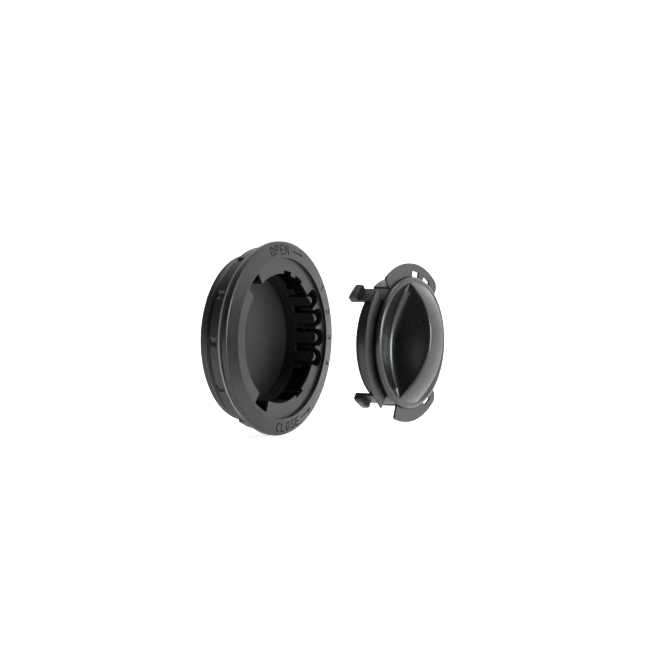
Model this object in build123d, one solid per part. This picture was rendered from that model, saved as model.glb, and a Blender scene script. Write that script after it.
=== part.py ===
from build123d import *
from math import atan2, cos, degrees, hypot, radians, sin
import os

# Deck hatch: a round ring set in a panel, and a twist-lock lid shown pulled off along the ring's axis.
# Modelling frame: origin at the centre of the flange's back face, x right, y up, z towards the viewer.
# Angles run anticlockwise from +x as the viewer sees them. FACING turns it all so that the front faces -Y.
FACING = Plane.XZ

# Ring flange and sleeve
FLANGE_R = 57.0
FLANGE_EDGE = 2.8
FLANGE_ROUND = 0.8
CONE_RISE = 1.8
RECESS_DEPTH = 1.8
WEB = 1.6
BORE_R = 38.0
RECESS_R = BORE_R + 9.3
BORE_WALL = 2.2
POCKET_GAP = 6.8
SLEEVE_WALL = 3.0
WELL_DEPTH = 20.6

# Entry notches, in degrees and millimetres
HOOK_AT = (129.7, 241.5)
HOOK_NOTCH_HALF = 8.5
HOOK_NOTCH_R = BORE_R + 7.0
LUG_AT = (79.3, 60.8, -59.5)
LUG_NOTCH_HALF = 5.6
LUG_NOTCH_R = BORE_R + 2.0
NOTCH_PLAY = 0.65
CLOSE_TURN = 24.5
TURN_PLAY = 4.0

# Numbered pockets and their spring fingers
POCKETS = 4
POCKET_FIRST = 32.8
POCKET_PITCH = 17.2
POCKET_RIB = 2.52
POCKET_AT_R = BORE_R + 3.7
POCKET_R = (POCKET_AT_R * radians(POCKET_PITCH) - POCKET_RIB) / 2
POCKET_DEPTH = 9.0
POCKET_TIP_R = BORE_R + 0.5
CAGE_END = 1.0
FINGER_HALF = 4.9
FINGER_SLOT_DEPTH = 14.0
FINGER_SLOT_SPARE = 0.2
FINGER_SLOT_HALF = 1.5

# Windows through the bore wall: start, end, depth below the recess floor
WINDOWS = ((40.0, 47.0, 9.5), (47.0, 112.0, 12.6), (-30.4, -27.5, 7.0), (-75.0, -30.4, 13.0))
WINDOW_RIB_AT = (57.0, -53.5)
WINDOW_RIB = 1.0

# Engraved legends on the cone
LEGEND_R = RECESS_R + 4.7
OPEN_FROM = 101.5
OPEN_ARROW = (79.0, 66.0)
CLOSE_FROM = -95.0
CLOSE_ARROW = (-66.5, -55.0)
LETTER_H = 5.0
LETTER_W = 3.2
LETTER_PITCH = 5.7
PEN = 0.72
ENGRAVING = 0.6
DIGIT_H = 4.2
DIGIT_W = 2.5
ARROW_HEAD = 2.6

# Panel side: thread, washer, nut, gasket, well cover and its screws
SHANK = 3.0
PANEL = 4.0
THREAD_DEPTH = 0.9
THREAD_PITCH = 2.0
THREAD_PLAY = 0.15
WASHER = 1.0
NUT_H = 5.5
NUT_WALL = 3.6
NUT_GRIPS = 12
NUT_GRIP_R = 3.0
GASKET_CLEAR = 1.0
GASKET_W = 3.0
GASKET_T = 1.0
COVER = 2.6
COVER_INSET = 0.2
COVER_SEAL_W = 0.9
COVER_SEAL_T = 0.8
SCREWS = 4
SCREW_FIRST = 8.0
SCREW_R = 1.45
SCREW_HOLE_PLAY = 0.05
SCREW_HEAD_R = 2.7
SCREW_HEAD_H = 1.4
SCREW_HEAD_PLAY = 0.3
SCREW_SLOT = 0.7
SCREW_LENGTH = 8.0
BOSS_R = 3.5
BOSS_H = 10.0

# Lid
LID_OFF = 84.0
WING_R = RECESS_R - 2.2
WING_T = 1.2
WING_CORNER = 4.5
WING_SMALL_CORNER = 1.2
WINGS = ((43.0, 124.5), (-111.0, -46.0))
CRESCENT_R = RECESS_R - 2.5
CRESCENT = (136.0, 232.3)
CRESCENT_STEP = 1.7
CRESCENT_T = 0.9
SEAT_PLAY = 0.3
BARREL_GAP = 3.3
BARREL_R = BORE_R - BARREL_GAP
BARREL_WALL = 2.8
BARREL_DEPTH = 14.3
BLOCK_R = BORE_R - 1.5
BLOCK_DEPTH = 13.0
BLOCKS = ((43.0, 119.0), (-107.0, -46.0))
LID_WEB = 2.0
LID_WEB_DEPTH = 12.5
LUG_T = 2.6
LUG_PLAY = 0.4
LUG_R = LUG_NOTCH_R - LUG_PLAY
WING_WINDOW = (BLOCK_R + 0.4, LUG_R + 1.3)
WINDOW_SPARE = 0.4
HOOK_LENGTH = 22.8
HOOK_HEAD = 5.0
HOOK_HEAD_R = BORE_R + 2.0
HOOK_CHAMFER = 1.3
NOSE_AT = -34.7
NOSE_HALF = 2.0
NOSE_DEPTH = 10.0
NOSE_PLAY = 0.4

# Lid seal
SEAL_W = 1.1
SEAL_H = 1.5
SEAL_PLAY = 0.3

# Grip knob
KNOB_R = BARREL_R + 2.7
KNOB_EDGE = 0.9
KNOB_PLAY = 0.3
CREST_R = KNOB_R - 2.8
CREST_H = 2.9
DISH_R = CREST_R - 1.0
DISH_DEPTH = 7.5
KNOB_WALL = 2.2
BAR_TURN = 79.75
BAR_TOP = 18.7
BAR_MID = 7.9
BAR_END = 10.1
BAR_WALL = 2.4
BAR_REACH = CREST_R - 0.4
KNOB_BOSS_AT_R = BARREL_R - BARREL_WALL - 7.9
KNOB_BOSS_R = 3.0
KNOB_BOSS_ANGLES = (50.0, 130.0, -130.0, -50.0)
KNOB_SCREW_LENGTH = 6.5

# Worked out from the above
FLOOR = FLANGE_EDGE + CONE_RISE - RECESS_DEPTH
CREST = FLANGE_EDGE + CONE_RISE
WEB_BACK = FLOOR - WEB
WELL_FLOOR = FLOOR - WELL_DEPTH
WALL_R = BORE_R + BORE_WALL
TROUGH_R = WALL_R + POCKET_GAP
SLEEVE_R = TROUGH_R + SLEEVE_WALL
BOSS_AT_R = (WALL_R + TROUGH_R) / 2
GASKET_IN = SLEEVE_R + GASKET_CLEAR
NUT_R = SLEEVE_R + NUT_WALL
NUT_FRONT = -PANEL - WASHER
SEATED = FLOOR + SEAT_PLAY + CRESCENT_STEP + CRESCENT_T
LID_Z = SEATED + LID_OFF
HOOK_HALF = HOOK_NOTCH_HALF - NOTCH_PLAY
LUG_HALF = LUG_NOTCH_HALF - NOTCH_PLAY
LUG_TOP = WEB_BACK - SEATED - SEAT_PLAY
HEAD_TOP = HOOK_HEAD - HOOK_LENGTH
HOOK_LEDGE = SEATED + HEAD_TOP + SEAT_PLAY
COVER_SEAL_R = TROUGH_R + (SLEEVE_WALL - THREAD_DEPTH - COVER_SEAL_W) / 2


def polar(r, angle):
    """Point at radius r and an angle in degrees."""
    return (r * cos(radians(angle)), r * sin(radians(angle)))


def sector(r_in, r_out, start, end):
    """Flat piece of a ring between two angles."""
    edges = [
        CenterArc((0, 0), r_in, start, end - start),
        Line(polar(r_in, start), polar(r_out, start)),
        CenterArc((0, 0), r_out, start, end - start),
        Line(polar(r_in, end), polar(r_out, end)),
    ]
    return make_face(edges)


def rise(face, low, high):
    """Upright solid on a flat face."""
    return Pos(0, 0, low) * extrude(face, high - low)


def wedge(r_in, r_out, start, end, low, high):
    """Upright solid on a piece of a ring."""
    return rise(sector(r_in, r_out, start, end), low, high)


def tube(r_in, r_out, low, high):
    """Round tube about the axis."""
    return rise(Circle(r_out) - Circle(r_in), low, high)


def disc(r, low, high):
    """Round disc about the axis."""
    return rise(Circle(r), low, high)


def pillar(at, r, low, high):
    """Round pillar on a point."""
    return rise(Pos(*at) * Circle(r), low, high)


def turned(points):
    """Solid turned about the axis from straight-sided (radius, height) points."""
    return revolve(Plane.XZ * make_face(Polyline(*points, close=True)), Axis.Z)


def ridges(r, low, high):
    """Thread flank points (radius, height) from low to high, crests at r."""
    points = [(r - THREAD_DEPTH, low)]
    for step in range(round((high - low) / THREAD_PITCH)):
        points.append((r, low + (step + 0.5) * THREAD_PITCH))
        points.append((r - THREAD_DEPTH, low + (step + 1) * THREAD_PITCH))
    return points


def thread_low():
    """Height where the last whole ridge ends."""
    turns = int((-SHANK - WELL_FLOOR) / THREAD_PITCH)
    return -SHANK - turns * THREAD_PITCH


def screw(at, seat, way, length):
    """Pan-head screw with a straight slot: its head bears on seat and its shank runs along way."""
    head = disc(SCREW_HEAD_R, -SCREW_HEAD_H, 0)
    shank = disc(SCREW_R, 0, length)
    slot = Pos(0, 0, -SCREW_HEAD_H) * Box(3 * SCREW_HEAD_R, SCREW_SLOT, SCREW_SLOT)
    facing = Location((at[0], at[1], seat)) if way > 0 else Location((at[0], at[1], seat), (180, 0, 0))
    return facing * (head + shank - slot)


def cover_screw_points():
    """Centres of the well cover's screws."""
    return [polar(BOSS_AT_R, SCREW_FIRST + 360.0 / SCREWS * i) for i in range(SCREWS)]


def knob_screw_points():
    """Centres of the knob's screws."""
    return [polar(KNOB_BOSS_AT_R, BAR_TURN + angle) for angle in KNOB_BOSS_ANGLES]


def pocket_angles():
    """Middle of each numbered pocket."""
    return [POCKET_FIRST - POCKET_PITCH * i for i in range(POCKETS)]


# Pen strokes of plain capitals and digits, in a box one unit wide and one unit high.
def bow(x, y, rx, ry, start, sweep):
    """Part of an ellipse as a chain of short strokes."""
    count = max(3, round(abs(sweep) / 30))
    angles = [start + sweep * i / count for i in range(count + 1)]
    return [(x + rx * cos(radians(a)), y + ry * sin(radians(a))) for a in angles]


GLYPHS = {
    "O": [bow(0.5, 0.5, 0.5, 0.5, 0, 360)],
    "P": [[(0, 0), (0, 1)], [(0, 1)] + bow(0.55, 0.75, 0.42, 0.25, 90, -180) + [(0, 0.5)]],
    "E": [[(0.95, 1), (0, 1), (0, 0), (0.95, 0)], [(0, 0.5), (0.8, 0.5)]],
    "N": [[(0, 0), (0, 1), (1, 0), (1, 1)]],
    "C": [bow(0.55, 0.5, 0.55, 0.5, 50, 260)],
    "L": [[(0, 1), (0, 0), (0.9, 0)]],
    "S": [bow(0.5, 0.74, 0.45, 0.26, 30, 240) + bow(0.5, 0.24, 0.48, 0.24, 90, -240)[1:]],
    "1": [[(0.15, 0.75), (0.55, 1), (0.55, 0)]],
    "2": [bow(0.5, 0.72, 0.45, 0.28, 165, -210) + [(0, 0), (1, 0)]],
    "3": [bow(0.45, 0.76, 0.45, 0.24, 150, -240), bow(0.45, 0.26, 0.5, 0.26, 90, -240)],
    "4": [[(0.75, 0), (0.75, 1), (0, 0.3), (1, 0.3)]],
}


def pen_line(a, b):
    """One straight pen stroke with round ends."""
    run_x = b[0] - a[0]
    run_y = b[1] - a[1]
    lean = degrees(atan2(run_y, run_x))
    middle = Pos((a[0] + b[0]) / 2, (a[1] + b[1]) / 2)
    return middle * Rot(0, 0, lean) * SlotCenterToCenter(hypot(run_x, run_y), PEN)


def glyph(sign, width, height):
    """Pen strokes of one sign, centred on the origin."""
    strokes = []
    for line in GLYPHS[sign]:
        points = [((x - 0.5) * width, (y - 0.5) * height) for x, y in line]
        strokes += [pen_line(a, b) for a, b in zip(points, points[1:])]
    return strokes


def on_cone(strokes, angle, upright):
    """Move strokes to the legend circle; upright tops point away from the centre."""
    turn = angle - 90 if upright else angle + 90
    place = Pos(*polar(LEGEND_R, angle)) * Rot(0, 0, turn)
    return [place * stroke for stroke in strokes]


def arrow(start, end):
    """Curved shaft with half a head at its end, as pen strokes along the legend circle."""
    steps = 5
    shaft = [polar(LEGEND_R, start + (end - start) * i / steps) for i in range(steps + 1)]
    back = end + (2.2 if end < start else -2.2)
    points = list(zip(shaft, shaft[1:]))
    points.append((shaft[-1], polar(LEGEND_R + ARROW_HEAD / 2, back)))
    points.append((shaft[-1], polar(LEGEND_R + ARROW_HEAD / 4, back)))
    return [pen_line(a, b) for a, b in points]


def legends():
    """Everything that is engraved on the cone, as one solid thin enough to leave its floor."""
    strokes = []
    for i, sign in enumerate("OPEN"):
        strokes += on_cone(glyph(sign, LETTER_W, LETTER_H), OPEN_FROM - LETTER_PITCH * i, True)
    for i, sign in enumerate("CLOSE"):
        strokes += on_cone(glyph(sign, LETTER_W, LETTER_H), CLOSE_FROM + LETTER_PITCH * i, False)
    for i, angle in enumerate(pocket_angles()):
        strokes += on_cone(glyph(str(i + 1), DIGIT_W, DIGIT_H), angle, True)
    strokes += arrow(*OPEN_ARROW)
    strokes += arrow(*CLOSE_ARROW)
    band = turned([
        (RECESS_R, CREST - ENGRAVING),
        (RECESS_R, CREST + 1),
        (FLANGE_R, FLANGE_EDGE + 1),
        (FLANGE_R, FLANGE_EDGE - ENGRAVING),
    ])
    pen = Sketch() + strokes
    return rise(pen, 0, CREST + 1) & band


def pocket_cutter(angle, low):
    """Round pocket with straight sides running in to the finger, which it leaves whole."""
    shape = Pos(POCKET_AT_R, 0) * Circle(POCKET_R)
    shape += Pos((POCKET_AT_R + BORE_R) / 2, 0) * Rectangle(POCKET_AT_R - BORE_R, 2 * POCKET_R)
    return Rot(0, 0, angle) * rise(shape - Circle(WALL_R), low, CREST)


def detent_cage():
    """Y-shaped ribs between the pockets, closed by the sleeve outside."""
    half = POCKET_PITCH / 2 + CAGE_END
    first = POCKET_FIRST + half
    last = POCKET_FIRST - POCKET_PITCH * (POCKETS - 1) - half
    cage = wedge(WALL_R, TROUGH_R + 0.5, last, first, FLOOR - POCKET_DEPTH, WEB_BACK)
    tip_half = (POCKET_PITCH / 2 * radians(1) * POCKET_TIP_R - POCKET_R) / POCKET_TIP_R / radians(1)
    for i in range(POCKETS - 1):
        middle = POCKET_FIRST - POCKET_PITCH * (i + 0.5)
        cage += wedge(
            POCKET_TIP_R, WALL_R + 0.5, middle - tip_half, middle + tip_half, FLOOR - POCKET_DEPTH, FLOOR
        )
    return cage


def finger_corners(angle):
    """What is cut off a finger's free end to round it."""
    end_r = FINGER_HALF * radians(1) * BORE_R
    middle = FLOOR - end_r
    block = wedge(BORE_R - 1, WALL_R, angle - FINGER_HALF, angle + FINGER_HALF, middle, CREST)
    keep = Rot(0, 0, angle) * Pos(BORE_R, 0, middle) * Rot(0, 90, 0) * Cylinder(end_r, 4 * BORE_WALL)
    return block - keep


def finger_slots():
    """Slots that free the sides of every spring finger."""
    low = FLOOR - FINGER_SLOT_DEPTH
    edge = POCKET_R / POCKET_TIP_R / radians(1)
    cuts = []
    for angle in pocket_angles():
        for side in (-1, 1):
            near, far = sorted((angle + side * FINGER_HALF, angle + side * (edge + FINGER_SLOT_SPARE)))
            cuts.append(wedge(BORE_R - 1, WALL_R, near, far, low, CREST))
    for i in range(POCKETS - 1):
        middle = POCKET_FIRST - POCKET_PITCH * (i + 0.5)
        start = middle - FINGER_SLOT_HALF
        cuts.append(wedge(BORE_R - 1, WALL_R, start, middle + FINGER_SLOT_HALF, low, CREST))
    return cuts


def deck_ring():
    """Flange, threaded sleeve, bore wall with its windows, pockets and notches, and screw bosses."""
    low = thread_low()
    body = turned(
        [(BORE_R, WELL_FLOOR), (SLEEVE_R - THREAD_DEPTH, WELL_FLOOR)]
        + ridges(SLEEVE_R, low, -SHANK)
        + [
            (SLEEVE_R, -SHANK),
            (SLEEVE_R, 0),
            (FLANGE_R, 0),
            (FLANGE_R, FLANGE_EDGE - FLANGE_ROUND),
            (FLANGE_R - FLANGE_ROUND / 3, FLANGE_EDGE - FLANGE_ROUND / 4),
            (FLANGE_R - FLANGE_ROUND, FLANGE_EDGE + CONE_RISE * FLANGE_ROUND / (FLANGE_R - RECESS_R)),
            (RECESS_R, CREST),
            (RECESS_R, FLOOR),
            (BORE_R, FLOOR),
        ]
    )
    body -= tube(WALL_R, TROUGH_R, WELL_FLOOR, WEB_BACK)
    body -= tube(GASKET_IN, GASKET_IN + GASKET_W, 0, GASKET_T)
    body -= finger_slots()
    body -= [finger_corners(angle) for angle in pocket_angles()]
    body -= [wedge(BORE_R - 1, WALL_R, a, b, FLOOR - depth, WEB_BACK) for a, b, depth in WINDOWS]
    for angle in HOOK_AT:
        start = angle - HOOK_NOTCH_HALF
        end = angle + HOOK_NOTCH_HALF
        body -= wedge(BORE_R - 1, HOOK_NOTCH_R, start, end, WEB_BACK, CREST)
        body -= wedge(BORE_R - 1, WALL_R, start, end, WELL_FLOOR, WEB_BACK)
        body -= wedge(BORE_R - 1, WALL_R, start, end + CLOSE_TURN + TURN_PLAY, WELL_FLOOR, HOOK_LEDGE)
    for angle in LUG_AT:
        body -= wedge(BORE_R - 1, LUG_NOTCH_R, angle - LUG_NOTCH_HALF, angle + LUG_NOTCH_HALF, WEB_BACK, CREST)
    body += detent_cage()
    body -= [pocket_cutter(angle, FLOOR - POCKET_DEPTH) for angle in pocket_angles()]
    for angle in WINDOW_RIB_AT:
        half = WINDOW_RIB / 2 / TROUGH_R / radians(1)
        body += wedge(WALL_R + 1, TROUGH_R + 0.5, angle - half, angle + half, WELL_FLOOR, WEB_BACK)
    body += [pillar(at, BOSS_R, WELL_FLOOR, WELL_FLOOR + BOSS_H) for at in cover_screw_points()]
    body -= [
        pillar(at, SCREW_R + SCREW_HOLE_PLAY, WELL_FLOOR, WELL_FLOOR + SCREW_LENGTH)
        for at in cover_screw_points()
    ]
    return body - legends()


def deck_gasket():
    """Flat rubber ring in the back of the flange."""
    return tube(GASKET_IN, GASKET_IN + GASKET_W, 0, GASKET_T)


def nut_washer():
    """Slip washer between the panel's back and the nut."""
    return tube(SLEEVE_R + THREAD_PLAY, NUT_R, NUT_FRONT, -PANEL)


def clamp_nut():
    """Ring nut with grips round its edge."""
    low = thread_low()
    back = NUT_FRONT - NUT_H
    flanks = [(r + THREAD_PLAY, z) for r, z in ridges(SLEEVE_R, low, -SHANK)]
    first = (SLEEVE_R + THREAD_PLAY, -SHANK)
    inner = turned([(0, low), *flanks, first, (0, -SHANK)])
    nut = disc(NUT_R, back, NUT_FRONT) - inner
    grips = [
        pillar(polar(NUT_R + NUT_GRIP_R / 2, 360.0 / NUT_GRIPS * i), NUT_GRIP_R, back, NUT_FRONT - 1)
        for i in range(NUT_GRIPS)
    ]
    return nut - grips


def well_cover():
    """Flat cover that closes the well from behind."""
    cover = disc(SLEEVE_R - THREAD_DEPTH - COVER_INSET, WELL_FLOOR - COVER, WELL_FLOOR)
    cover -= tube(COVER_SEAL_R, COVER_SEAL_R + COVER_SEAL_W, WELL_FLOOR - COVER_SEAL_T, WELL_FLOOR)
    for at in cover_screw_points():
        cover -= pillar(at, SCREW_R + 3 * SCREW_HOLE_PLAY, WELL_FLOOR - COVER, WELL_FLOOR)
        cover -= pillar(at, SCREW_HEAD_R + SCREW_HEAD_PLAY, WELL_FLOOR - COVER, WELL_FLOOR - COVER + SCREW_HEAD_H)
    return cover


def cover_seal():
    """Square rubber ring in the cover's groove."""
    return tube(COVER_SEAL_R, COVER_SEAL_R + COVER_SEAL_W, WELL_FLOOR - COVER_SEAL_T, WELL_FLOOR)


def cover_screws():
    """Screws that hold the cover to the ring's bosses."""
    seat = WELL_FLOOR - COVER + SCREW_HEAD_H
    return [screw(at, seat, 1, SCREW_LENGTH) for at in cover_screw_points()]


def wing(start, end):
    """Flat wing with rounded outer corners, from the barrel outwards."""
    face = sector(BARREL_R - 1, WING_R, start, end)
    left, right = face.vertices().sort_by(lambda v: v.X**2 + v.Y**2)[-2:].sort_by(Axis.X)
    face = fillet([right], WING_CORNER)
    left = face.vertices().sort_by(lambda v: (v.X - left.X) ** 2 + (v.Y - left.Y) ** 2)[0]
    return rise(fillet([left], WING_SMALL_CORNER), -WING_T, 0)


def hook(angle):
    """Long arm with a chamfered head that reaches past the bore wall."""
    arm = wedge(BARREL_R, BLOCK_R, angle - HOOK_HALF, angle + HOOK_HALF, -HOOK_LENGTH, -WING_T)
    profile = Polyline(
        (BARREL_R, -HOOK_LENGTH),
        (HOOK_HEAD_R - HOOK_CHAMFER, -HOOK_LENGTH),
        (HOOK_HEAD_R, HOOK_CHAMFER - HOOK_LENGTH),
        (HOOK_HEAD_R, HEAD_TOP - HOOK_CHAMFER / 2),
        (HOOK_HEAD_R - HOOK_CHAMFER / 2, HEAD_TOP),
        (BARREL_R, HEAD_TOP),
        close=True,
    )
    head = revolve(Plane.XZ * make_face(profile), Axis.Z, 2 * HOOK_HALF)
    sides = head.edges().filter_by(Axis.Z).sort_by(lambda e: e.center().X ** 2 + e.center().Y ** 2)[-2:]
    head = chamfer(sides, HOOK_CHAMFER)
    return arm + Rot(0, 0, angle - HOOK_HALF) * head


def lid_body():
    """Wings, crescent, barrel with its cross web, hooks, lugs and detent nose; z = 0 at the wings' front."""
    inner = BARREL_R - BARREL_WALL
    body = tube(inner, BARREL_R, -BARREL_DEPTH, 0)
    body += disc(inner + 1, -LID_WEB_DEPTH, LID_WEB - LID_WEB_DEPTH)
    for start, end in WINGS:
        body += wing(start, end)
    for start, end in BLOCKS:
        body += wedge(BARREL_R - 1, BLOCK_R, start, end, -BLOCK_DEPTH, -WING_T)
    plate_back = -CRESCENT_STEP - CRESCENT_T
    body += wedge(BARREL_R - 1, CRESCENT_R, *CRESCENT, plate_back, -CRESCENT_STEP)
    rabbet = BARREL_R - SEAL_W - 2 * SEAL_PLAY
    body -= tube(rabbet, BARREL_R, -BARREL_DEPTH, -BARREL_DEPTH + SEAL_H + SEAL_PLAY)
    for angle in HOOK_AT:
        body += hook(angle)
    for angle in LUG_AT:
        start = angle - LUG_HALF
        end = angle + LUG_HALF
        body += wedge(BARREL_R, LUG_R, start, end, LUG_TOP - LUG_T, LUG_TOP)
        body -= wedge(*WING_WINDOW, start - WINDOW_SPARE, end + WINDOW_SPARE, -WING_T, 0)
    body += wedge(BARREL_R - 1, BORE_R - NOSE_PLAY, NOSE_AT - NOSE_HALF, NOSE_AT + NOSE_HALF, -NOSE_DEPTH, -WING_T)
    for at in knob_screw_points():
        body -= pillar(at, SCREW_R + 3 * SCREW_HOLE_PLAY, -LID_WEB_DEPTH, LID_WEB - LID_WEB_DEPTH)
    return body


def lid_seal():
    """Rubber ring in the rabbet at the barrel's back edge."""
    outer = BARREL_R - SEAL_PLAY
    return tube(outer - SEAL_W, outer, -BARREL_DEPTH, -BARREL_DEPTH + SEAL_H)


def dish_surface(drop):
    """Point (radius, height) list for the dish: centre, part way and rim, lowered by drop."""
    part_way = 0.55
    deep = -DISH_DEPTH - drop
    rim = CREST_H - drop
    return (0, deep), (part_way * DISH_R, deep + (rim - deep) * part_way**2), (DISH_R, rim)


def dome(shrink):
    """Ball cap whose surface gives the bar its crown, made smaller by shrink."""
    crown = BAR_TOP - CREST_H
    ball_r = (CREST_R**2 + crown**2) / (2 * crown)
    return Pos(0, 0, BAR_TOP - ball_r) * Sphere(ball_r - shrink)


def bar_plan(shrink):
    """Waisted outline of the grip bar, along y, made smaller by shrink."""
    end = CREST_R + 1
    right = ThreePointArc((BAR_END - shrink, -end), (BAR_MID - shrink, 0), (BAR_END - shrink, end))
    left = ThreePointArc((shrink - BAR_END, end), (shrink - BAR_MID, 0), (shrink - BAR_END, -end))
    top = Line((BAR_END - shrink, end), (shrink - BAR_END, end))
    bottom = Line((shrink - BAR_END, -end), (BAR_END - shrink, -end))
    return make_face([right, top, left, bottom])


def grip_knob():
    """Round dish with a crowned bar across it, hollow behind; z = 0 on the lid's wings."""
    top = dish_surface(0)
    under = dish_surface(KNOB_WALL)
    under_r = BARREL_R - BARREL_WALL - KNOB_PLAY
    shell = revolve(Plane.XZ * make_face([
        ThreePointArc(*top),
        Line(top[2], (CREST_R, CREST_H)),
        ThreePointArc((CREST_R, CREST_H), (KNOB_R - 0.9, CREST_H - 0.55), (KNOB_R, KNOB_EDGE)),
        Line((KNOB_R, KNOB_EDGE), (KNOB_R, 0)),
        Line((KNOB_R, 0), (DISH_R, 0)),
        Line((DISH_R, 0), under[2]),
        ThreePointArc(*under),
        Line(under[0], top[0]),
    ]), Axis.Z)
    cavity = revolve(Plane.XZ * make_face([
        ThreePointArc(*top),
        Line(top[2], (DISH_R, BAR_TOP)),
        Line((DISH_R, BAR_TOP), (0, BAR_TOP)),
        Line((0, BAR_TOP), top[0]),
    ]), Axis.Z)
    seat = LID_WEB - LID_WEB_DEPTH
    for at in knob_screw_points():
        place = Rot(0, 0, -BAR_TURN + 90) * Pos(*at)
        shell += place * disc(KNOB_BOSS_R, seat, 0) - cavity
        shell -= place * disc(SCREW_R + SCREW_HOLE_PLAY, seat, seat + KNOB_SCREW_LENGTH - LID_WEB)
    low = -DISH_DEPTH - KNOB_WALL
    base = -DISH_DEPTH - KNOB_WALL / 2
    bar = rise(bar_plan(0), base, BAR_TOP) & dome(0) & disc(BAR_REACH, base, BAR_TOP)
    bar -= revolve(Plane.XZ * make_face([
        ThreePointArc(*under),
        Line(under[2], (DISH_R + 1, under[2][1])),
        Line((DISH_R + 1, under[2][1]), (DISH_R + 1, under[0][1])),
        Line((DISH_R + 1, under[0][1]), under[0]),
    ]), Axis.Z)
    hollow = rise(bar_plan(BAR_WALL), low, BAR_TOP) & dome(BAR_WALL) & disc(under_r - BAR_WALL, low, BAR_TOP)
    knob = shell + bar - hollow - tube(under_r, KNOB_R + 1, seat, 0)
    return Rot(0, 0, BAR_TURN - 90) * knob


def knob_screws():
    """Screws through the lid's web into the knob's bosses."""
    return [screw(at, -LID_WEB_DEPTH, 1, KNOB_SCREW_LENGTH) for at in knob_screw_points()]


def save(name, shapes, lift=0.0):
    """Write one node, lifted along the axis and turned to face -Y."""
    pieces = shapes if isinstance(shapes, list) else [shapes]
    placed = [FACING * (Pos(0, 0, lift) * piece) for piece in pieces]
    solids = [solid for piece in placed for solid in piece.solids()]
    export_step(Compound(children=solids) if len(solids) > 1 else solids[0], f"parts/{name}.step")


os.makedirs("parts", exist_ok=True)
save("deck_ring", deck_ring())
save("deck_gasket", deck_gasket())
save("nut_washer", nut_washer())
save("clamp_nut", clamp_nut())
save("well_cover", well_cover())
save("cover_seal", cover_seal())
save("cover_screws", cover_screws())
save("lid_body", lid_body(), LID_Z)
save("lid_seal", lid_seal(), LID_Z)
save("grip_knob", grip_knob(), LID_Z)
save("knob_screws", knob_screws(), LID_Z)
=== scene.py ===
from math import cos, pi, radians, sin, sqrt

import bmesh
import bpy
from mathutils import Matrix, Vector


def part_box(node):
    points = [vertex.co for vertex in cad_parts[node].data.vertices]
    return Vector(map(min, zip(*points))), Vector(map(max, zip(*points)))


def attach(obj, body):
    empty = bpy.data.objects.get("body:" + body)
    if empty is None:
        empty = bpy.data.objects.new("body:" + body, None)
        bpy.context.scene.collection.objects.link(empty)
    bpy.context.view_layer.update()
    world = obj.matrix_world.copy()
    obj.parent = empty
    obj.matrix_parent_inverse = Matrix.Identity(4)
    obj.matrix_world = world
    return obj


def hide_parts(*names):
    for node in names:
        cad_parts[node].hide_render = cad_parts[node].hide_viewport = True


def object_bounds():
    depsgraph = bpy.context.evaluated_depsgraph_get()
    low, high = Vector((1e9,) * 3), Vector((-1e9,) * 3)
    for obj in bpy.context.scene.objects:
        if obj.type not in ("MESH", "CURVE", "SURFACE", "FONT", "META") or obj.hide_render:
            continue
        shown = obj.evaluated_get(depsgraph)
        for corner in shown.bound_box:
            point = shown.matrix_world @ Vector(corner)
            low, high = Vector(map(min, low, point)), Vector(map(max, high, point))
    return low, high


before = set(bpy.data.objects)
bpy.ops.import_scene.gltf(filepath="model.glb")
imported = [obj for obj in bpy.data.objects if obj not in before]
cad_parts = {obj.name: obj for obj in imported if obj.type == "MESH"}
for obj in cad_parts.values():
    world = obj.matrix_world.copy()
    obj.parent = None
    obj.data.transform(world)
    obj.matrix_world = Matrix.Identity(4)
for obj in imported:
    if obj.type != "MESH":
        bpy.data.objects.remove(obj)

# Deck hatch in metres: the ring's axis is Y, its front faces -Y, and the lid stands off in front of it.
MM = 0.001
CAD_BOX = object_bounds()

# Camera: a long lens to the left of the ring's axis, a little above it
IMAGE = 650
SENSOR = 36.0
FOCAL_PX = 2507.0
CAMERA_SIDE = 56.9
CAMERA_RISE = 3.0
CAMERA_AWAY = 1.468
RING_LEFT_PX = 41.6
RING_DOWN_PX = 13.5
RING_FRONT = -4.6 * MM

# Bowl round the hatch: white ahead of the camera, grey behind it and dark on one side
DARK_SIDE = (-0.84, 0.55, 0.0)
DARK_FROM = 0.7
DARK_TO = 2.2
AHEAD = (0.84, 0.55, 0.0)
AHEAD_FROM = -2.8
AHEAD_TO = -0.9
BOWL_FLAT = 1.6
BOWL_BEND = 1.6
BOWL_HIGH = 5.0
BOWL_BEND_STEPS = 24
BOWL_SIDES = 96
BOWL_GLOW = (0.03, 0.78)
BOWL_DARK = 0.12
BOWL_PALE = (0.86, 0.89)

# Lights: place, size, power in watts and colour
LIT_MIDDLE = (0.0, -0.045, 0.0)
KEY_LIGHT = ((-0.05, -1.25, 0.30), (0.40, 0.55), 14.0, (0.88, 0.95, 1.0))
TOP_LIGHT = ((0.2, -0.4, 1.2), (0.8, 0.6), 5.0, (0.94, 0.97, 1.0))
SKY_COLOUR = (0.96, 0.98, 1.0, 1.0)
SKY_STRENGTH = 0.3

# Grip knob, replaced by a smooth mesh: sizes in millimetres
KNOB_R = 37.4
KNOB_EDGE = 0.9
CREST_R = 34.3
CREST_H = 2.9
DISH_DEPTH = 7.5
KNOB_WALL = 2.2
HANG_R = 31.5
BAR_LEAN = 10.25
BAR_TOP = 18.7
BAR_MID = 7.9
BAR_END = 10.1
FOOT_ROUND = 3.8
TOP_ROUND = 2.0
DRAFT = 0.7
STATIONS = 96

# Reach of the occlusion test that paints shade into fine grooves of a moulding, so that grooves about this
# deep come out dark, in metres
GROOVE_SHADE_REACH = 0.9 * MM


def light_of(value):
    """Linear light for an sRGB value from 0 to 255."""
    share = value / 255.0
    return share / 12.92 if share <= 0.04045 else ((share + 0.055) / 1.055) ** 2.4


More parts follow.
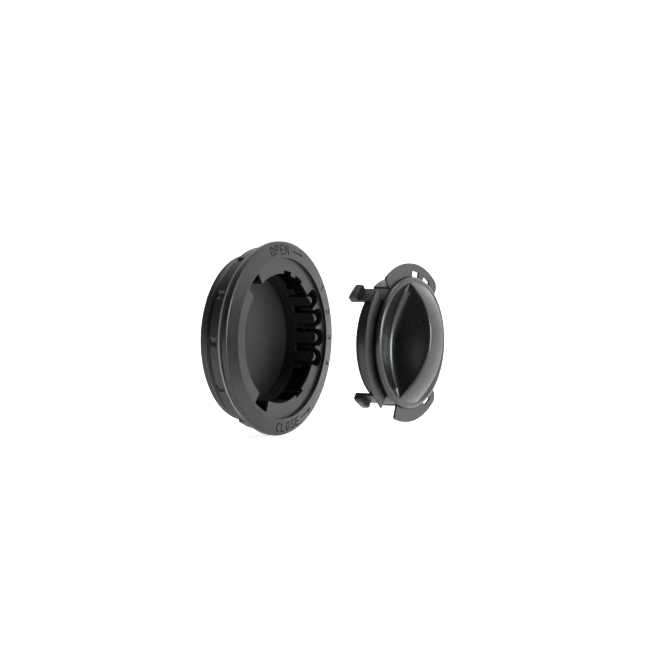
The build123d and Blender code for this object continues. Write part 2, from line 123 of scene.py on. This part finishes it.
def grey(value, tint=(1.0, 1.0, 1.0)):
    """Linear colour for an sRGB grey and a tint."""
    return tuple(light_of(value) * t for t in tint) + (1.0,)


# ---------------------------------------------------------------- materials


class Nodes:
    """Short way to add shader nodes to one material."""

    def __init__(self, name):
        self.material = bpy.data.materials.new(name)
        self.material.use_nodes = True
        self.tree = self.material.node_tree
        self.shader = self.tree.nodes["Principled BSDF"]
        self.place = self.add("ShaderNodeTexCoord").outputs["Object"]

    def add(self, kind, **values):
        node = self.tree.nodes.new(kind)
        for key, value in values.items():
            setattr(node, key, value)
        return node

    def link(self, output, socket):
        self.tree.links.new(output, socket)

    def noise(self, size, detail=3.0, roughness=0.5):
        """Noise whose features are about size metres across."""
        node = self.add("ShaderNodeTexNoise")
        node.inputs["Scale"].default_value = 1.0 / size
        node.inputs["Detail"].default_value = detail
        node.inputs["Roughness"].default_value = roughness
        self.link(self.place, node.inputs["Vector"])
        return node.outputs["Fac"]

    def spread(self, value, low, high, from_low=0.3, from_high=0.7):
        """Map a value to a range."""
        node = self.add("ShaderNodeMapRange")
        node.inputs["From Min"].default_value = from_low
        node.inputs["From Max"].default_value = from_high
        node.inputs["To Min"].default_value = low
        node.inputs["To Max"].default_value = high
        self.link(value, node.inputs["Value"])
        return node.outputs["Result"]

    def along(self, way, dark_at, light_at):
        """Smooth change from 0 to 1 between two distances along a direction."""
        toward = self.add("ShaderNodeVectorMath", operation="DOT_PRODUCT")
        self.link(self.place, toward.inputs[0])
        toward.inputs[1].default_value = way
        share = self.add("ShaderNodeMapRange", interpolation_type="SMOOTHSTEP")
        share.inputs["From Min"].default_value = min(dark_at, light_at)
        share.inputs["From Max"].default_value = max(dark_at, light_at)
        share.inputs["To Min"].default_value = 0.0 if dark_at < light_at else 1.0
        share.inputs["To Max"].default_value = 1.0 if dark_at < light_at else 0.0
        self.link(toward.outputs["Value"], share.inputs["Value"])
        return share.outputs["Result"]

    def blend(self, value, first, second):
        """Mix two colours by a value."""
        node = self.add("ShaderNodeMix", data_type="RGBA")
        node.inputs["A"].default_value = first
        node.inputs["B"].default_value = second
        self.link(value, node.inputs["Factor"])
        return node.outputs["Result"]

    def bump(self, value, height, under=None):
        """Bump of a height in metres, on top of another bump."""
        node = self.add("ShaderNodeBump")
        node.inputs["Distance"].default_value = height
        self.link(value, node.inputs["Height"])
        if under is not None:
            self.link(under, node.inputs["Normal"])
        return node.outputs["Normal"]

    def edges(self, radius):
        """Nearly 1 on an edge that sticks out and 0 on a flat, for wear."""
        bevel = self.add("ShaderNodeBevel", samples=6)
        bevel.inputs["Radius"].default_value = radius
        face = self.add("ShaderNodeNewGeometry").outputs["Normal"]
        dot = self.add("ShaderNodeVectorMath", operation="DOT_PRODUCT")
        self.link(bevel.outputs["Normal"], dot.inputs[0])
        self.link(face, dot.inputs[1])
        return self.spread(dot.outputs["Value"], 1.0, 0.0, 0.75, 0.99), bevel.outputs["Normal"]

    def paint_groove_shade(self, color):
        """Painted shade: darken a colour in fine grooves, where ambient occlusion finds them, and dull the
        shader's reflection there.
        """
        # painted shade: ambient occlusion picks out fine grooves, which are then darkened and dulled
        near = self.add("ShaderNodeAmbientOcclusion", samples=8)
        near.inputs["Distance"].default_value = GROOVE_SHADE_REACH
        groove_shade_mask = self.spread(near.outputs["AO"], 0.0, 1.0, 0.35, 0.85)
        self.link(self.spread(groove_shade_mask, 0.05, 0.5, 0.0, 1.0), self.shader.inputs["Specular IOR Level"])
        # near-black painted shade for the bottoms of the grooves
        dark = self.add("ShaderNodeMix", data_type="RGBA")
        dark.inputs["A"].default_value = grey(4)
        self.link(color, dark.inputs["B"])
        self.link(groove_shade_mask, dark.inputs["Factor"])
        return dark.outputs["Result"]


def moulded(name, dark, light, rough, grain, coat=0.0, edge=0.25 * MM):
    """Black moulded plastic: fine spark grain, slow random change of tone and faint handling marks.

    With an edge size, edges are softly rounded and rubbed lighter, and fine grooves get painted shade: darker
    colour and less gloss where ambient occlusion finds them.
    """
    n = Nodes(name)
    drift_and_groove_shade = n.blend(n.spread(n.noise(14 * MM, 4.0), 0.0, 1.0), dark, light)
    marks = n.spread(n.noise(7 * MM, 2.0), rough - 0.03, rough + 0.04)
    rounded = None
    if edge:
        worn, rounded = n.edges(edge)
        rub = n.add("ShaderNodeMath", operation="MULTIPLY")
        n.link(worn, rub.inputs[0])
        n.link(n.spread(n.noise(2.5 * MM, 4.0, 0.7), 0.0, 0.5, 0.42, 0.68), rub.inputs[1])
        tint = n.add("ShaderNodeMix", data_type="RGBA")
        n.link(drift_and_groove_shade, tint.inputs["A"])
        tint.inputs["B"].default_value = tuple(min(1.0, 2.4 * c) for c in light[:3]) + (1.0,)
        n.link(rub.outputs["Value"], tint.inputs["Factor"])
        # random tone, with painted shade added in fine grooves (darker and duller where ambient occlusion
        # finds them)
        drift_and_groove_shade = n.paint_groove_shade(tint.outputs["Result"])
    n.link(drift_and_groove_shade, n.shader.inputs["Base Color"])
    n.link(marks, n.shader.inputs["Roughness"])
    fine = n.bump(n.noise(0.22 * MM, 2.0), grain, rounded)
    n.link(n.bump(n.noise(9 * MM, 0.0), 0.008 * MM, fine), n.shader.inputs["Normal"])
    n.shader.inputs["IOR"].default_value = 1.5
    n.shader.inputs["Coat Weight"].default_value = coat
    n.shader.inputs["Coat Roughness"].default_value = 0.18
    return n.material


def rubber(name, dark, light):
    """Matt black rubber with a dusty bloom."""
    n = Nodes(name)
    bloom = n.spread(n.noise(3 * MM, 5.0, 0.6), 0.0, 1.0)
    n.link(n.blend(bloom, dark, light), n.shader.inputs["Base Color"])
    n.link(n.spread(n.noise(1.5 * MM), 0.62, 0.8), n.shader.inputs["Roughness"])
    n.link(n.bump(n.noise(0.3 * MM, 3.0), 0.02 * MM), n.shader.inputs["Normal"])
    n.shader.inputs["Specular IOR Level"].default_value = 0.35
    return n.material


def steel(name):
    """Stainless screws with fine turning marks and a slow change of tone."""
    n = Nodes(name)
    turning = n.add("ShaderNodeTexWave", wave_type="RINGS", rings_direction="Y")
    turning.inputs["Scale"].default_value = 900.0
    turning.inputs["Distortion"].default_value = 1.5
    n.link(n.place, turning.inputs["Vector"])
    tone = n.spread(n.noise(1.2 * MM, 4.0), 0.0, 1.0)
    n.link(n.blend(tone, grey(160), grey(196, (1.0, 0.99, 0.97))), n.shader.inputs["Base Color"])
    n.shader.inputs["Metallic"].default_value = 1.0
    n.link(n.spread(n.noise(0.8 * MM), 0.24, 0.38), n.shader.inputs["Roughness"])
    n.link(n.bump(turning.outputs["Fac"], 0.01 * MM), n.shader.inputs["Normal"])
    return n.material


def studio_floor():
    """White bowl, lit from within so that it stays even, grey in front and dark on one side."""
    n = Nodes("studio_floor")
    ahead = n.along(AHEAD, AHEAD_FROM, AHEAD_TO)
    lit = n.add("ShaderNodeMath", operation="MULTIPLY")
    n.link(ahead, lit.inputs[0])
    n.link(n.along(DARK_SIDE, DARK_TO, DARK_FROM), lit.inputs[1])
    low, high = BOWL_PALE
    board = n.blend(n.noise(0.4, 2.0), (low, low, low, 1.0), (high, high, high, 1.0))
    shade = n.add("ShaderNodeMix", data_type="RGBA")
    shade.inputs["A"].default_value = (BOWL_DARK, BOWL_DARK, BOWL_DARK, 1.0)
    n.link(board, shade.inputs["B"])
    n.link(lit.outputs["Value"], shade.inputs["Factor"])
    n.link(shade.outputs["Result"], n.shader.inputs["Base Color"])
    n.link(n.spread(lit.outputs["Value"], *BOWL_GLOW, 0.0, 1.0), n.shader.inputs["Emission Strength"])
    n.shader.inputs["Emission Color"].default_value = (1.0, 1.0, 1.0, 1.0)
    n.shader.inputs["Roughness"].default_value = 0.9
    return n.material


def dress(node, material):
    """Give a CAD node its material."""
    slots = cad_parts[node].data.materials
    slots.clear()
    slots.append(material)


# ---------------------------------------------------------------- grip knob


def dish_height(r):
    """Height of the dish's surface at radius r."""
    return -DISH_DEPTH + (CREST_H + DISH_DEPTH) * (r / CREST_R) ** 2


def crown_height(r):
    """Height of the bar's crowned top at radius r, down to the rim's crest."""
    rise = BAR_TOP - CREST_H
    ball = (CREST_R**2 + rise**2) / (2 * rise)
    return BAR_TOP - ball + sqrt(ball**2 - min(r, CREST_R) ** 2)


def half_section(y):
    """Points (x, height) of the knob's top at one place along the bar, from its middle to the rim's crest."""
    reach = sqrt(max(CREST_R**2 - y * y, 0.0))
    width = BAR_MID + (BAR_END - BAR_MID) * (y / CREST_R) ** 2
    tall = crown_height(sqrt(width * width + y * y)) - dish_height(min(sqrt(width * width + y * y), CREST_R))
    tall = max(tall, 0.0)
    top = min(TOP_ROUND, 0.45 * tall)
    foot = min(FOOT_ROUND, 0.45 * tall)
    lean = DRAFT * tall / (BAR_TOP + DISH_DEPTH)
    shoulder = crown_height(sqrt((width - top) ** 2 + y * y))
    points = []
    for i in range(9):
        x = (width - top) * i / 8
        points.append((x, crown_height(sqrt(x * x + y * y))))
    for i in range(1, 8):
        turn = pi / 2 * i / 7
        points.append((width - top + top * sin(turn), shoulder - top * (1 - cos(turn))))
    foot_x = width + lean
    base = dish_height(min(sqrt((foot_x + foot) ** 2 + y * y), CREST_R))
    low = base + foot
    high = shoulder - top
    for i in range(1, 8):
        share = i / 8
        points.append((width + lean * share, high + (low - high) * share))
    for i in range(0, 8):
        turn = pi / 2 * i / 7
        points.append((foot_x + foot - foot * cos(turn), low - foot * sin(turn)))
    start = foot_x + foot
    for i in range(1, 16):
        x = start + (reach - start) * i / 15
        points.append((x, dish_height(min(sqrt(x * x + y * y), CREST_R))))
    return [(x, z) if x < reach else (reach, CREST_H) for x, z in points[:-1]] + [(reach, CREST_H)]


def under_profile():
    """Rim, seat and underside of the dish, as (radius, height) from the crest to the centre."""
    roll = [(CREST_R + 0.5, CREST_H + 0.10), (CREST_R + 1.1, CREST_H + 0.08), (CREST_R + 1.8, CREST_H - 0.18)]
    roll += [(CREST_R + 2.4, CREST_H - 0.65), (KNOB_R - 0.25, KNOB_EDGE + 0.75), (KNOB_R, KNOB_EDGE)]
    roll += [(KNOB_R, 0.25), (KNOB_R - 0.25, 0.0), (HANG_R, 0.0)]
    deep = [(HANG_R * (1 - i / 12), dish_height(HANG_R * (1 - i / 12)) - KNOB_WALL) for i in range(12)]
    return roll + deep


def grip_knob(material):
    """Round dish with a crowned bar across it: one closed mesh, swept along the bar and round the rim."""
    wings_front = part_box("lid_body")[0].y
    place = Matrix.Rotation(radians(-BAR_LEAN), 4, "Z")
    mesh = bmesh.new()

    def point(x, y, z):
        at = place @ Vector((x, y, z))
        return mesh.verts.new((at.x * MM, wings_front - at.z * MM, at.y * MM))

    rows = []
    for i in range(STATIONS + 1):
        y = CREST_R * sin(pi * (i / STATIONS - 0.5))
        half = half_section(y)
        row = [(-x, z) for x, z in reversed(half)] + half[1:]
        rows.append([point(x, y, z) for x, z in row])
    for low, high in zip(rows, rows[1:]):
        for a, b, c, d in zip(low, low[1:], high[1:], high):
            mesh.faces.new((a, b, c, d))
    angles = [pi * (i / STATIONS - 0.5) for i in range(2 * STATIONS)]
    profile = [(CREST_R, CREST_H)] + under_profile()
    rings = [[point(r * cos(a), r * sin(a), z) for a in angles] for r, z in profile]
    for inner, outer in zip(rings, rings[1:]):
        for i in range(2 * STATIONS):
            j = (i + 1) % (2 * STATIONS)
            mesh.faces.new((inner[i], inner[j], outer[j], outer[i]))
    hub = point(0, 0, dish_height(0) - KNOB_WALL)
    for i in range(2 * STATIONS):
        mesh.faces.new((rings[-1][i], rings[-1][(i + 1) % (2 * STATIONS)], hub))
    bmesh.ops.remove_doubles(mesh, verts=mesh.verts, dist=0.002 * MM)
    bmesh.ops.dissolve_degenerate(mesh, edges=mesh.edges, dist=0.001 * MM)
    bmesh.ops.recalc_face_normals(mesh, faces=mesh.faces)
    data = bpy.data.meshes.new("knob_moulding")
    mesh.to_mesh(data)
    mesh.free()
    data.shade_smooth()
    data.set_sharp_from_angle(angle=radians(40))
    data.materials.append(material)
    knob = bpy.data.objects.new("knob_moulding", data)
    bpy.context.scene.collection.objects.link(knob)
    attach(knob, "lid")
    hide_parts("grip_knob")


# ---------------------------------------------------------------- studio


def camera():
    """Camera at the viewing angle of the reference, aimed so that the ring stands left of the middle."""
    side = radians(CAMERA_SIDE)
    rise = radians(CAMERA_RISE)
    away = Vector((-sin(side) * cos(rise), -cos(side) * cos(rise), sin(rise)))
    ring = Vector((0.0, RING_FRONT, 0.0))
    spot = ring + CAMERA_AWAY * away
    forward = (-away).normalized()
    right = forward.cross(Vector((0, 0, 1))).normalized()
    up = right.cross(forward)
    aim = forward + right * (RING_LEFT_PX / FOCAL_PX) + up * (RING_DOWN_PX / FOCAL_PX)
    data = bpy.data.cameras.new("camera")
    data.sensor_width = SENSOR
    data.lens = SENSOR * FOCAL_PX / IMAGE
    data.clip_start = 0.05
    data.clip_end = 50.0
    data.dof.use_dof = False
    eye = bpy.data.objects.new("camera", data)
    bpy.context.scene.collection.objects.link(eye)
    eye.location = spot
    eye.rotation_euler = aim.to_track_quat("-Z", "Y").to_euler()
    bpy.context.scene.camera = eye


def softbox(name, spot, size, power, tint):
    """Rectangular area light aimed at the middle of the hatch."""
    data = bpy.data.lights.new(name, "AREA")
    data.shape = "RECTANGLE"
    data.size = size[0]
    data.size_y = size[1]
    data.energy = power
    data.color = tint
    lamp = bpy.data.objects.new(name, data)
    bpy.context.scene.collection.objects.link(lamp)
    lamp.location = spot
    lamp.rotation_euler = (Vector(LIT_MIDDLE) - Vector(spot)).to_track_quat("-Z", "Y").to_euler()


def bowl():
    """Round floor that bends up into a wall, stood under the hatch."""
    ground = CAD_BOX[0][2]
    outline = [(0.0, 0.0)]
    for i in range(BOWL_BEND_STEPS + 1):
        turn = pi / 2 * i / BOWL_BEND_STEPS
        outline.append((BOWL_FLAT + BOWL_BEND * sin(turn), BOWL_BEND * (1 - cos(turn))))
    outline.append((BOWL_FLAT + BOWL_BEND, BOWL_HIGH))
    mesh = bmesh.new()
    corners = [mesh.verts.new((r, 0.0, ground + z)) for r, z in outline]
    edges = [mesh.edges.new(pair) for pair in zip(corners, corners[1:])]
    bmesh.ops.spin(mesh, geom=corners + edges, axis=(0, 0, 1), cent=(0, 0, 0), steps=BOWL_SIDES, angle=2 * pi)
    bmesh.ops.remove_doubles(mesh, verts=mesh.verts, dist=0.0001)
    bmesh.ops.recalc_face_normals(mesh, faces=mesh.faces)
    data = bpy.data.meshes.new("floor")
    mesh.to_mesh(data)
    mesh.free()
    data.shade_smooth()
    data.materials.append(studio_floor())
    floor = bpy.data.objects.new("floor", data)
    bpy.context.scene.collection.objects.link(floor)


def studio():
    """Bowl round the hatch, a grey sky over it and two softboxes."""
    bowl()
    sky = bpy.data.worlds.new("sky")
    sky.use_nodes = True
    sky.node_tree.nodes["Background"].inputs["Color"].default_value = SKY_COLOUR
    sky.node_tree.nodes["Background"].inputs["Strength"].default_value = SKY_STRENGTH
    bpy.context.scene.world = sky
    bpy.context.scene.view_settings.view_transform = "Standard"
    softbox("key_light", *KEY_LIGHT)
    softbox("top_light", *TOP_LIGHT)


RING = moulded("ring_plastic", grey(17), grey(22, (0.98, 1.0, 1.02)), 0.36, 0.004 * MM)
LID = moulded("lid_plastic", grey(17), grey(22, (0.98, 1.0, 1.02)), 0.36, 0.004 * MM)
KNOB = moulded("knob_plastic", grey(12), grey(16, (0.97, 1.0, 1.03)), 0.29, 0.0012 * MM, coat=0.2, edge=0.0)
COVER = moulded("cover_plastic", grey(26), grey(31), 0.5, 0.008 * MM)
NUT = moulded("nut_plastic", grey(20), grey(26), 0.45, 0.006 * MM)
WASHER = moulded("washer_plastic", grey(120), grey(134), 0.45, 0.005 * MM)
GASKET = rubber("seal_rubber", grey(22), grey(34))
SCREW = steel("screw_steel")

DRESSED = {
    "deck_ring": RING,
    "deck_gasket": GASKET,
    "nut_washer": WASHER,
    "clamp_nut": NUT,
    "well_cover": COVER,
    "cover_seal": GASKET,
    "cover_screws": SCREW,
    "lid_body": LID,
    "lid_seal": GASKET,
    "grip_knob": KNOB,
    "knob_screws": SCREW,
}
for node, material in DRESSED.items():
    dress(node, material)

camera()
studio()
grip_knob(KNOB)
